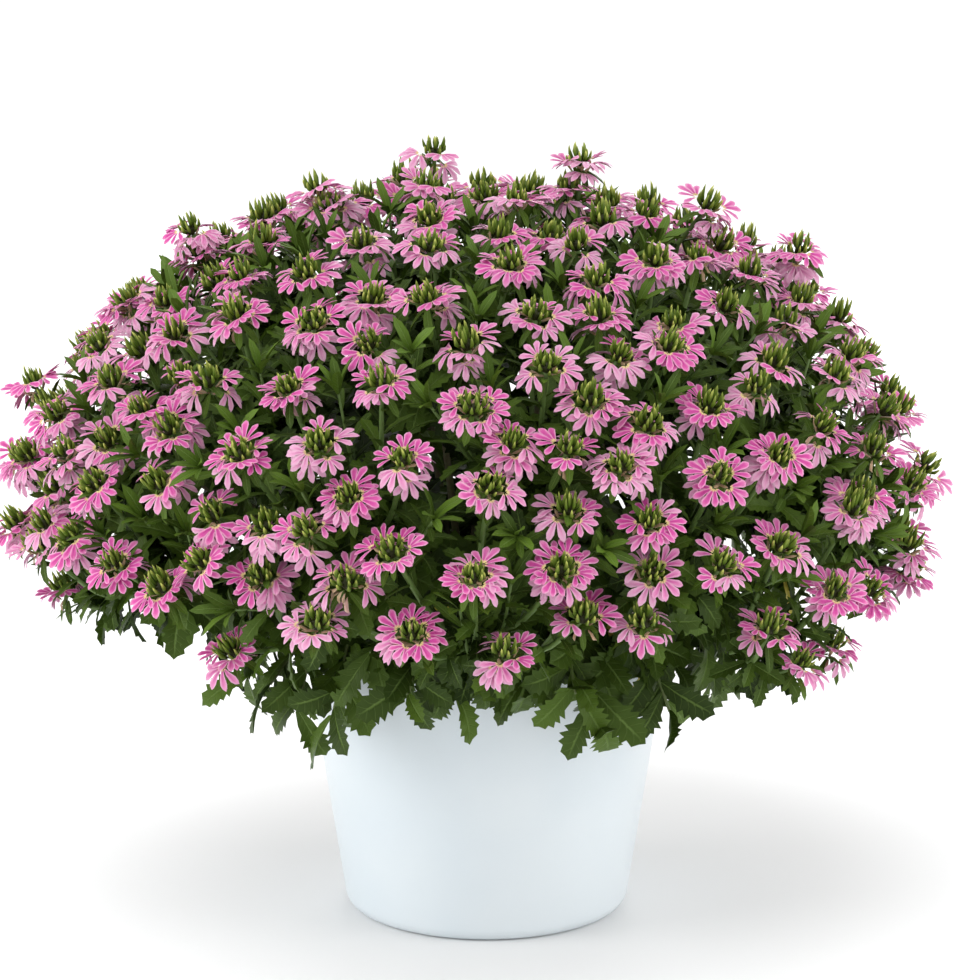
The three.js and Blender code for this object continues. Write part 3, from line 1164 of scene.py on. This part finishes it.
@dataclass(frozen=True)
class LeafFinish:
    """Green leaves: a lighter midrib and side veins, mottled, darker and duller with age, and
    darker still with painted shade on the old inner and lower leaves.
    """

    young: Colour = (0.092, 0.160, 0.017, 1)
    mature: Colour = (0.020, 0.042, 0.004, 1)
    # Dark green of painted shade for the old inner and lower leaves; leaves of low tone also lean
    # towards it.
    shaded: Colour = (0.005, 0.013, 0.001, 1)
    rib: Colour = (0.14, 0.22, 0.05, 1)
    yellowed: Colour = (0.42, 0.36, 0.06, 1)
    veins: float = 8.0

    def make(self) -> bpy.types.Material:
        """Builds the nodes.

        Returns:
            The material.
        """
        s = Shader("leaf")
        along, across = s.along_and_across()
        tone, age = s.reading("tone"), s.reading("age")
        cloud = s.noise(90.0, 3.0)
        # Age runs from young tip leaves to old inner and lower ones, so this darkening is partly
        # ageing and partly painted shade.
        grown = s.plus(age, s.swing(cloud, 0.5), clamp=True)
        body = s.blend(grown, self.young, self.mature)
        body = s.blend(s.band(tone, -0.1, 1.0, 0.0, 0.5), body, self.young)
        body = s.blend(s.band(tone, -0.1, -1.0, 0.0, 0.5), body, self.shaded)
        # Painted shade: leaves over an age of about 0.6, which stand inside the mound or low on
        # their stalks, darken further.
        body = s.blend(s.band(age, 0.62, 1.0, 0.0, 0.6), body, self.shaded)
        slant = s.minus(along, s.times(across, 0.16))
        wave = s.math("SINE", s.times(slant, 2 * math.pi * self.veins))
        vein = s.times(s.band(wave, 0.82, 1.0), s.band(across, 0.95, 0.5))
        middle = s.times(s.band(across, 0.13, 0.04), s.band(along, 1.0, 0.7))
        body = s.blend(s.times(vein, 0.22), body, self.rib)
        body = s.blend(s.times(middle, 0.6), body, self.rib)
        body = s.blend(s.band(age, 1.5, 2.0), body, self.yellowed)
        relief = s.plus(s.times(vein, -0.5), s.times(middle, -1.0))
        s.bump(s.plus(relief, s.times(cloud, 0.6)), 0.5, 0.0008)
        return s.finish(body, s.band(cloud, 0.3, 0.75, 0.42, 0.58), Specular_IOR_Level=0.15)


@dataclass(frozen=True)
class BudFinish:
    """Buds: green, with painted shade darkening their feet and sides, and a yellow-green tip
    brightened in part by a painted highlight.
    """

    # foot: near-black green, the painted shade at the buds' feet and between them.
    foot: Colour = (0.020, 0.022, 0.004, 1)
    body: Colour = (0.095, 0.16, 0.012, 1)
    tip: Colour = (0.50, 0.52, 0.12, 1)

    def make(self) -> bpy.types.Material:
        """Builds the nodes.

        Returns:
            The material.
        """
        s = Shader("bud")
        along, across = s.along_and_across()
        tone = s.reading("tone")
        cloud = s.noise(400.0)
        place = s.plus(along, s.swing(cloud, 0.3))
        # Painted shade: each bud darkens towards its foot, deep in the crown.
        body = s.blend(s.band(place, 0.10, 0.50), self.foot, self.body)
        # Painted highlight, stronger on buds of high tone: the upper half turns the bright
        # yellow-green tip colour.
        lit = s.times(s.band(place, 0.5, 1.0), s.band(tone, -1.0, 1.0, 0.2, 1.0))
        body = s.blend(lit, body, self.tip)
        # Painted shade down the sides of each bud, where it faces its neighbours.
        body = s.blend(s.times(s.band(across, 0.5, 0.95), 0.3), body, self.foot)
        s.bump(cloud, 0.3, 0.0004)
        return s.finish(body, s.band(cloud, 0.3, 0.7, 0.45, 0.6), Specular_IOR_Level=0.2)


@dataclass(frozen=True)
class StemFinish:
    """Stems: mid green, browner low down, with fine streaks."""

    green: Colour = (0.10, 0.17, 0.035, 1)
    brown: Colour = (0.085, 0.055, 0.028, 1)

    def make(self) -> bpy.types.Material:
        """Builds the nodes.

        Returns:
            The material.
        """
        s = Shader("stem")
        streaks = s.noise(300.0, 4.0)
        place = s.plus(s.reading("age"), s.swing(streaks, 0.6))
        s.bump(streaks, 0.4, 0.0006)
        colour = s.blend(s.band(place, 0.1, 1.0), self.green, self.brown)
        return s.finish(colour, s.band(streaks, 0.3, 0.7, 0.5, 0.7))


@dataclass(frozen=True)
class PotFinish:
    """Moulded white plastic with a cool cast, a soft gloss and the faintest unevenness."""

    white: Colour = (0.70, 0.755, 0.785, 1)
    shade: Colour = (0.65, 0.715, 0.755, 1)

    def make(self) -> bpy.types.Material:
        """Builds the nodes.

        Returns:
            The material.
        """
        s = Shader("white_plastic")
        slow, fine = s.noise(9.0), s.noise(900.0)
        s.bump(s.plus(s.times(slow, 0.6), s.times(fine, 0.1)), 0.12, 0.001)
        return s.finish(
            s.blend(s.band(slow, 0.35, 0.65), self.shade, self.white),
            s.band(fine, 0.3, 0.7, 0.30, 0.38),
        )


@dataclass(frozen=True)
class SoilFinish:
    """Dark potting soil: fibrous brown crumbs with a few pale specks."""

    dark: Colour = (0.016, 0.010, 0.007, 1)
    brown: Colour = (0.075, 0.045, 0.025, 1)
    speck: Colour = (0.55, 0.52, 0.45, 1)

    def make(self) -> bpy.types.Material:
        """Builds the nodes.

        Returns:
            The material.
        """
        s = Shader("soil")
        place = s.node("TexCoord")
        cells = s.node("TexVoronoi")
        s.feed(cells.inputs["Vector"], place.outputs["Object"])
        cells.inputs["Scale"].default_value = 220.0
        crumbs = cells.outputs["Distance"]
        cloud = s.noise(120.0, 6.0)
        body = s.blend(s.band(cloud, 0.35, 0.7), self.dark, self.brown)
        body = s.blend(s.band(s.noise(330.0), 0.70, 0.74), body, self.speck)
        s.bump(s.plus(crumbs, cloud), 0.9, 0.003)
        return s.finish(body, s.band(crumbs, 0.0, 0.6, 0.98, 0.8))


@dataclass(frozen=True)
class FloorFinish:
    """A pale matt floor."""

    pale: Colour = (0.90, 0.90, 0.90, 1)
    paler: Colour = (0.92, 0.92, 0.92, 1)

    def make(self) -> bpy.types.Material:
        """Returns the material."""
        s = Shader("pale_floor")
        return s.finish(s.blend(s.noise(3.0), self.pale, self.paler), 0.8)


@dataclass(frozen=True)
class Finishes:
    """All the materials of the plant."""

    petal: bpy.types.Material
    leaf: bpy.types.Material
    bud: bpy.types.Material
    stem: bpy.types.Material


# --- The plant ---

TrunkLeaves = tuple[LeafKind, int, float, float, tuple[float, float], float]
# Kind, number, share of the stem under the first, share from first to last, sizes, and hang.
LOW_TRUNK: TrunkLeaves = (LeafKind.SKIRT, 15, 0.40, 0.44, (0.5, 0.78), 0.22)
HIGH_TRUNK: TrunkLeaves = (LeafKind.BROAD, 18, 0.34, 0.60, (0.9, 1.5), 0.1)


@dataclass
class SprayMaker:
    """Dresses one spray: its stems, its leaves, its buds and its petals."""

    patterns: Patterns
    finishes: Finishes
    ring: float = 8.4
    fan_counts: tuple[int, ...] = (4, 5, 5, 6, 6, 7, 7)
    fans_missing: float = 0.08
    stem_radius: float = 2.9
    stalk_radius: float = 1.5
    shoot_radius: float = 1.3
    stem_foot: float = 150.0
    stem_top: float = 193.0
    stem_sides: int = 6
    skirt_leaves: int = 15
    over_rim: tuple[float, float] = (121.0, 130.0)
    over_height: tuple[float, float] = (192.0, 206.0)
    hang_reach: tuple[float, float] = (138.0, 172.0)
    hang_heights: tuple[float, ...] = (150.0, 160.0, 170.0, 180.0, 190.0)
    yellowed_share: float = 0.02
    narrow_above: float = 0.7
    tuft: int = 5
    bracts: int = 6

    def make(self, spray: Spray) -> None:
        """Builds the four pieces of a spray.

        Args:
            spray: The spray, in its final place.
        """
        self.rng = random.Random(700 + spray.number)
        self.petals, self.leaves, self.stems, self.buds = (Gathering() for _ in range(4))
        trunk = self.trunk(spray)
        for head in spray.heads:
            self.stalk(spray, head)
            self.head(head)
        for tip in spray.tips:
            self.leafy_tip(spray, tip)
        for azimuth in spray.skirts:
            self.skirt_shoot(trunk, azimuth)
        label, finishes = spray.label, self.finishes
        for name, part, finish in (
            ("stems", self.stems, finishes.stem),
            ("leaves", self.leaves, finishes.leaf),
            ("buds", self.buds, finishes.bud),
        ):
            part.piece(f"{name}_{label}", finish, "foliage_green", f"shoot_{label}")
        self.petals.piece(f"petals_{label}", finishes.petal, "petal_pink", f"blooms_{label}")

    def tube(self, path: Path, start: float, end: float, age: float) -> None:
        """Adds a round stem along a path.

        Args:
            path: The line it follows.
            start: Its radius at the foot.
            end: Its radius at the top.
            age: How brown it is.
        """
        bm = empty_bmesh()
        points = [Vector(point) for point in path.points]
        ring = bmesh.ops.create_circle(bm, segments=self.stem_sides, radius=1)["verts"]
        corners = [vertex.co.copy() for vertex in ring]
        edges = list(bm.edges)
        for k, point in enumerate(points):
            if k:
                grown = bmesh.ops.extrude_edge_only(bm, edges=edges)["geom"]
                ring = [part for part in grown if isinstance(part, bmesh.types.BMVert)]
                edges = [part for part in grown if isinstance(part, bmesh.types.BMEdge)]
                edges = [edge for edge in edges if all(v in ring for v in edge.verts)]
            way = points[min(k + 1, len(points) - 1)] - points[max(k - 1, 0)]
            turn = Vector((0, 0, 1)).rotation_difference(way)
            radius = start + (end - start) * k / (len(points) - 1)
            for vertex, corner in zip(ring, corners):
                vertex.co = point + turn @ (corner * radius)
        bmesh.ops.holes_fill(bm, edges=bm.edges, sides=self.stem_sides)
        bmesh.ops.recalc_face_normals(bm, faces=bm.faces)
        for face in bm.faces:
            face.smooth = len(face.verts) == 4
        made = as_mesh(bm, "tube")
        self.stems.add(made, Matrix.Identity(4), 0.0, age)
        bpy.data.meshes.remove(made)

    def leaf(
        self,
        kind: LeafKind,
        path: Path,
        share: float,
        angle: float,
        size: float,
        open_by: float,
        age: float,
        hang: float,
    ) -> None:
        """Adds a leaf to a stem.

        Args:
            kind: Which leaf it is.
            path: The stem's line.
            share: How far up the stem it leaves.
            angle: Its turn round the stem.
            size: Its scale.
            open_by: The angle between the leaf and the stem, in degrees.
            age: From young to old; old leaves are also darkened with painted shade.
            hang: How much it hangs down, from 0 to 1.
        """
        rng = self.rng
        place, way = path.at(share)
        level = unit(np.cross(way, UP) + np.array((1e-3, 0, 0)))
        lateral = turned(level, way, angle)
        steep = math.radians(open_by + rng.uniform(-9, 9))
        heading = unit(lateral * math.sin(steep) + way * math.cos(steep) - UP * hang)
        face = way + UP * 0.35 + lateral * (hang * 0.9)
        scale = size * rng.uniform(0.85, 1.15)
        pattern = rng.choice(self.patterns.leaves[kind])
        twist = turned(face, heading, rng.uniform(-0.45, 0.45))
        stood = frame_at(place, heading, twist, (scale * rng.uniform(0.88, 1.12), scale, scale))
        yellowed = kind is LeafKind.SKIRT and rng.random() < self.yellowed_share
        own = 2.0 if yellowed else min(1.0, max(0.0, age + rng.uniform(-0.22, 0.22)))
        self.leaves.add(pattern, stood, rng.uniform(-1, 1), own)

    def trunk(self, spray: Spray) -> Path:
        """Grows the stem from the soil over the rim to the fork, with big leaves.

        Args:
            spray: The spray that it carries.

        Returns:
            The stem's line.
        """
        rng = self.rng
        soil = spray.ground + UP * self.stem_foot
        bend = spray.ground + UP * self.stem_top
        bend = mix(bend, np.array((spray.fork[0], spray.fork[1], self.stem_top)), 0.1)
        path = Path.through(soil, bend, mix(bend, spray.fork, 0.55) + UP * 3, spray.fork, steps=4)
        self.tube(path, self.stem_radius, self.stalk_radius + 0.5, 0.7)
        kind, count, foot, reach, sizes, hang = LOW_TRUNK if spray.low else HIGH_TRUNK
        phase = rng.uniform(0, 2 * math.pi)
        for k in range(count):
            angle = phase + k * GOLDEN_ANGLE
            size = rng.uniform(*sizes)
            # The trunk leaves stand deep in the mound, and their age of about 0.75 also gives them
            # painted shade.
            self.leaf(kind, path, foot + reach * k / (count - 1), angle, size, 68, 0.75, hang)
        return path

    def stalk(self, spray: Spray, head: Head) -> None:
        """Grows one stalk from the fork to a head, with leaves that narrow towards the flowers.

        Args:
            spray: The spray that it stands on.
            head: The head that it carries.
        """
        foot = spray.fork
        reach = float(np.linalg.norm(head.place - foot))
        middle = mix(foot, head.place - head.axis * 0.45 * reach, 0.62)
        path = Path.through(foot, middle, head.place - head.axis * 2, steps=4)
        self.tube(path, self.stalk_radius + 0.3, self.stalk_radius, 0.15)
        self.dress(path, spray.low, 0.93)

    def dress(self, path: Path, low: bool, top: float) -> None:
        """Adds the leaves of one upright stalk or shoot.

        Args:
            path: The stalk's line.
            low: Whether it stands low in the mound, where its leaves are smaller.
            top: How far up the last leaf stands.
        """
        rng = self.rng
        count = 6 + round(path.length() / 10)
        phase = rng.uniform(0, 2 * math.pi)
        for k in range(count):
            rank = k / (count - 1)
            share = 0.10 + (top - 0.10) * rank
            angle = phase + k * GOLDEN_ANGLE
            kind, size = LeafKind.BROAD, (0.82 if low else 1.0) - 0.45 * rank
            if rank > self.narrow_above:
                kind, size = LeafKind.NARROW, 0.85 - 0.3 * (rank - self.narrow_above) / 0.3
            # Leaves low on a stalk are older, and their higher age also gives them painted shade.
            open_by, age, hang = 62 - 22 * rank, 0.85 - 0.5 * rank, 0.06 * (1 - rank)
            self.leaf(kind, path, share, angle, size, open_by, age, hang)

    def leafy_tip(self, spray: Spray, tip: Head) -> None:
        """Grows a shoot without flowers that ends in a tuft of young leaves.

        Args:
            spray: The spray that it stands on.
            tip: Its place and axis.
        """
        foot = mix(spray.fork, spray.fork - spray.axis * 20, self.rng.random())
        reach = float(np.linalg.norm(tip.place - foot))
        middle = mix(foot, tip.place - tip.axis * 0.45 * reach, 0.6)
        path = Path.through(foot, middle, tip.place, steps=3)
        self.tube(path, self.shoot_radius, 0.8, 0.2)
        self.dress(path, spray.low, 0.96)
        for k in range(self.tuft):
            self.leaf(LeafKind.NARROW, path, 0.99, 1.3 * k, 0.8, 24, 0.15, 0.0)

    def skirt_shoot(self, trunk: Path, azimuth: float) -> None:
        """Grows a leafy shoot that leans out over the rim and hangs down outside the pot.

        Args:
            trunk: The stem that it leaves.
            azimuth: Where it crosses the rim.
        """
        rng = self.rng
        out = level_way(azimuth)
        root, _ = trunk.at(0.36)
        over = out * rng.uniform(*self.over_rim) + UP * rng.uniform(*self.over_height)
        down = out * rng.uniform(*self.hang_reach) + UP * rng.choice(self.hang_heights)
        path = Path.through(root, over, down, steps=5)
        self.tube(path, self.shoot_radius + 0.3, 0.9, 0.45)
        phase = rng.uniform(0, 2 * math.pi)
        for k in range(self.skirt_leaves):
            share = 0.42 + 0.57 * (k / (self.skirt_leaves - 1))
            size, hang = rng.uniform(0.45, 0.85), rng.uniform(0.2, 0.8)
            self.leaf(LeafKind.SKIRT, path, share, phase + k * GOLDEN_ANGLE, size, 60, 0.6, hang)

    def fan(
        self,
        place: np.ndarray,
        axis: np.ndarray,
        out: np.ndarray,
        kind: FanAge,
        age: float,
        girth: float,
        fall: float,
    ) -> None:
        """Adds one fan flower to a head.

        Args:
            place: The middle of the ring that it stands in.
            axis: The head's axis.
            out: The direction from the axis to the flower.
            kind: How far it has come.
            age: How old its colours are, before its own difference.
            girth: The head's width against the usual one.
            fall: How steeply it points down, or up where negative.
        """
        rng = self.rng
        side = np.cross(axis, out)
        heading = unit(out - axis * fall + side * rng.uniform(-0.25, 0.25))
        face = axis + side * rng.uniform(-0.35, 0.35)
        size = rng.uniform(0.84, 1.08)
        foot = place + out * self.ring * girth * rng.uniform(0.85, 1.12)
        foot = foot + axis * (rng.uniform(-2.4, 1.8) - kind.value)
        own = min(1.0, max(0.0, age + 0.28 * kind.value + rng.uniform(-0.25, 0.2)))
        stood = frame_at(foot, heading, face, (size,) * 3)
        self.petals.add(self.patterns.fans[kind], stood, rng.uniform(-1, 1), own)

    def head(self, head: Head) -> None:
        """Sets one head: buds, a ring of fans, fading and spent flowers under it, and bracts.

        Args:
            head: Its place and axis.
        """
        rng = self.rng
        axis, place = head.axis, head.place + head.axis * rng.uniform(-2, 3)
        start = square_to(axis, np.array((rng.uniform(-1, 1), rng.uniform(-1, 1), 0.1)))
        girth = rng.uniform(0.82, 1.08)
        crown = rng.choice(self.patterns.crowns)
        stood = frame_at(place, start, axis, (girth, girth, rng.uniform(0.85, 1.15)))
        self.buds.add(crown, stood, rng.uniform(-0.3, 0.3))
        age = rng.random() ** 1.6
        count = rng.randint(2, 3) if head.spent else rng.choice(self.fan_counts)
        phase = rng.uniform(0, 2 * math.pi)
        for k in range(count):
            if rng.random() > self.fans_missing:
                angle = phase + 2 * math.pi * (k + rng.uniform(-0.2, 0.2)) / max(count, 5)
                kind = rng.choice((FanAge.FRESH, FanAge.FRESH, FanAge.OPEN, FanAge.FADING))
                out, fall = turned(start, axis, angle), rng.uniform(-0.38, 0.36)
                self.fan(place, axis, out, kind, 0.55 * age, girth, fall)
        for _ in range(rng.choice((0, 1, 1, 2, 3))):
            out = turned(start, axis, rng.uniform(0, 2 * math.pi))
            under, fall = place - axis * rng.uniform(3, 6), rng.uniform(0.2, 0.8)
            self.fan(under, axis, out, FanAge.FADING, 0.3 + 0.5 * age, girth, fall)
        for _ in range(rng.randint(1, 3) + 3 * head.spent):
            out = turned(start, axis, rng.uniform(0, 2 * math.pi))
            foot = place + out * 4 - axis * rng.uniform(3, 9)
            way = unit(out - axis * rng.uniform(0, 1.0))
            stood = frame_at(foot, way, axis, (rng.uniform(0.7, 1.1),) * 3)
            tone, age_now = rng.uniform(-1, 1), rng.uniform(1.1, 2.2)
            self.petals.add(self.patterns.withered, stood, tone, age_now)
        for k in range(self.bracts):
            out = turned(start, axis, GOLDEN_ANGLE * k + rng.uniform(-0.3, 0.3))
            way = unit(out - axis * rng.uniform(0.15, 0.9))
            bract = rng.choice(self.patterns.leaves[LeafKind.BRACT])
            scale = rng.uniform(0.8, 1.25)
            stood = frame_at(place + out * 1.5 - axis * rng.uniform(4, 10), way, axis, (scale,) * 3)
            self.leaves.add(bract, stood, rng.uniform(-1, 1), rng.uniform(0.2, 0.6))


# --- Pot and soil ---


@dataclass(frozen=True)
class Pot:
    """The moulded pot: a straight taper with a rounded foot and a plain lip."""

    height: float = 176.0
    rim: float = 113.0
    body: float = 110.0
    foot: float = 84.0
    corner: float = 10.0
    lip: float = 11.0
    wall: float = 3.5
    floor: float = 5.0
    steps: int = 128
    round_steps: int = 6

    def slope(self, z: float) -> float:
        """Returns the outer wall's radius at a height."""
        return self.foot + (self.body - self.foot) * (z - self.corner) / (self.height - self.corner)

    def profile(self) -> list[tuple[float, float]]:
        """Draws the section from the middle of the underside, up the outside and down the inside.

        Returns:
            Its points, each a radius and a height.
        """
        arc = [math.pi / 2 * k / self.round_steps for k in range(self.round_steps + 1)]
        centre = self.foot - self.corner
        corner = [
            (centre + self.corner * math.sin(a), self.corner * (1 - math.cos(a))) for a in arc
        ]
        under = self.height - self.lip
        inner = self.slope(self.height) - self.wall
        middle, half = (self.rim + inner) / 2, (self.rim - inner) / 2
        crown = half * 0.55
        top = [
            (middle + half * math.cos(2 * a), self.height - crown + crown * math.sin(2 * a))
            for a in arc
        ]
        return [
            (0.0, 0.0),
            *corner,
            (self.slope(under - 2), under - 2),
            (self.rim - 0.8, under),
            (self.rim, under + 1),
            *top,
            (self.slope(self.floor + 3) - self.wall, self.floor + 3),
            (self.slope(self.floor) - self.wall - 3, self.floor),
            (0.0, self.floor),
        ]

    def make(self, material: bpy.types.Material) -> None:
        """Spins the section into the pot and sets it in place of the solid one.

        Args:
            material: Its finish.
        """
        pot = Gathering()
        points = [pot.bm.verts.new((radius, 0, z)) for radius, z in self.profile()]
        edges = [pot.bm.edges.new(pair) for pair in zip(points, points[1:])]
        bmesh.ops.spin(
            pot.bm,
            geom=[*points, *edges],
            cent=(0, 0, 0),
            axis=(0, 0, 1),
            dvec=(0, 0, 0),
            angle=2 * math.pi,
            steps=self.steps,
            use_merge=True,
        )
        bmesh.ops.remove_doubles(pot.bm, verts=pot.bm.verts, dist=1e-4)
        bmesh.ops.recalc_face_normals(pot.bm, faces=pot.bm.faces)
        for face in pot.bm.faces:
            face.smooth = True
        for edge in pot.bm.edges:
            edge.smooth = edge.calc_face_angle(0) < math.radians(30)
        pot.piece("pot_shell", material, "pot_plastic", "pot")


# --- Studio ---


Place = tuple[float, float, float]


@dataclass(frozen=True)
class Studio:
    """A pale floor, soft lights and the camera at the photograph's angle."""

    camera_at: Place = (0.002, -2.45, 0.80)
    aim: Place = (0.002, 0.0, 0.250)
    lens: float = 158.0
    sensor: float = 36.0
    view_end: float = 100.0
    world: float = 0.86
    floor_size: float = 30.0
    sun_from: Place = (-0.6, -1.2, 3.0)
    sun_power: float = 1.3
    sun_spread: float = 50.0
    lamps: tuple[tuple[str, Place, float, float], ...] = (
        ("left", (-2.0, -0.6, 0.8), 1.2, 20.0),
        ("right", (2.0, -0.6, 0.8), 1.2, 16.0),
        ("back", (0.4, 2.2, 1.2), 1.5, 14.0),
    )
    lit: Place = (0.0, 0.0, 0.25)

    def aimed(self, name: str, data: bpy.types.ID, place: Place, at: Place) -> bpy.types.Object:
        """Stands a camera or a lamp at a place and turns it to a point.

        Args:
            name: Its name.
            data: The camera or lamp.
            place: Where it stands.
            at: The point that it looks at.

        Returns:
            The object.
        """
        made = stand(name, data)
        made.location = place
        made.rotation_euler = (Vector(at) - Vector(place)).to_track_quat("-Z", "Y").to_euler()
        return made

    def camera(self) -> None:
        """Makes the camera."""
        data = bpy.data.cameras.new("camera")
        data.lens = self.lens
        data.sensor_width = self.sensor
        data.clip_end = self.view_end
        bpy.context.scene.camera = self.aimed("camera", data, self.camera_at, self.aim)

    def lights(self) -> None:
        """Makes the white world, a wide soft sun and the square lamps round the plant."""
        world = bpy.data.worlds.new("white")
        world.use_nodes = True
        background = world.node_tree.nodes["Background"]
        background.inputs["Color"].default_value = (1, 1, 1, 1)
        background.inputs["Strength"].default_value = self.world
        bpy.context.scene.world = world
        bpy.context.scene.view_settings.view_transform = "Standard"
        sun = bpy.data.lights.new("daylight", "SUN")
        sun.energy = self.sun_power
        sun.angle = math.radians(self.sun_spread)
        self.aimed("daylight", sun, self.sun_from, (0, 0, 0))
        for name, place, size, power in self.lamps:
            lamp = bpy.data.lights.new(name, "AREA")
            lamp.shape = "SQUARE"
            lamp.size = size
            lamp.energy = power
            self.aimed(name, lamp, place, self.lit)

    def make(self) -> None:
        """Makes the camera, the lights and the floor."""
        self.camera()
        self.lights()
        bm = bmesh.new()
        bmesh.ops.create_grid(bm, x_segments=2, y_segments=2, size=self.floor_size / 2)
        mesh = as_mesh(bm, "floor")
        mesh.materials.append(FloorFinish().make())
        stand("floor", mesh)


def main() -> None:
    """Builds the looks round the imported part."""
    logging.basicConfig(level=logging.INFO, format="%(message)s")
    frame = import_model()
    Studio().make()
    Pot().make(PotFinish().make())
    soil = frame["nodes"]["soil"]
    soil.data.materials.clear()
    soil.data.materials.append(SoilFinish().make())
    patterns = Patterns()
    plant = (PetalFinish(), LeafFinish(), BudFinish(), StemFinish())
    finishes = Finishes(*(finish.make() for finish in plant))
    sprays = Planting().sprays()
    heads = sum(len(spray.heads) for spray in sprays)
    tips = sum(len(spray.tips) for spray in sprays)
    LOG.info("%d heads, %d leafy tips", heads, tips)
    maker = SprayMaker(patterns, finishes)
    for spray in sprays:
        maker.make(spray)
    patterns.remove()


if __name__ == "__main__":
    main()
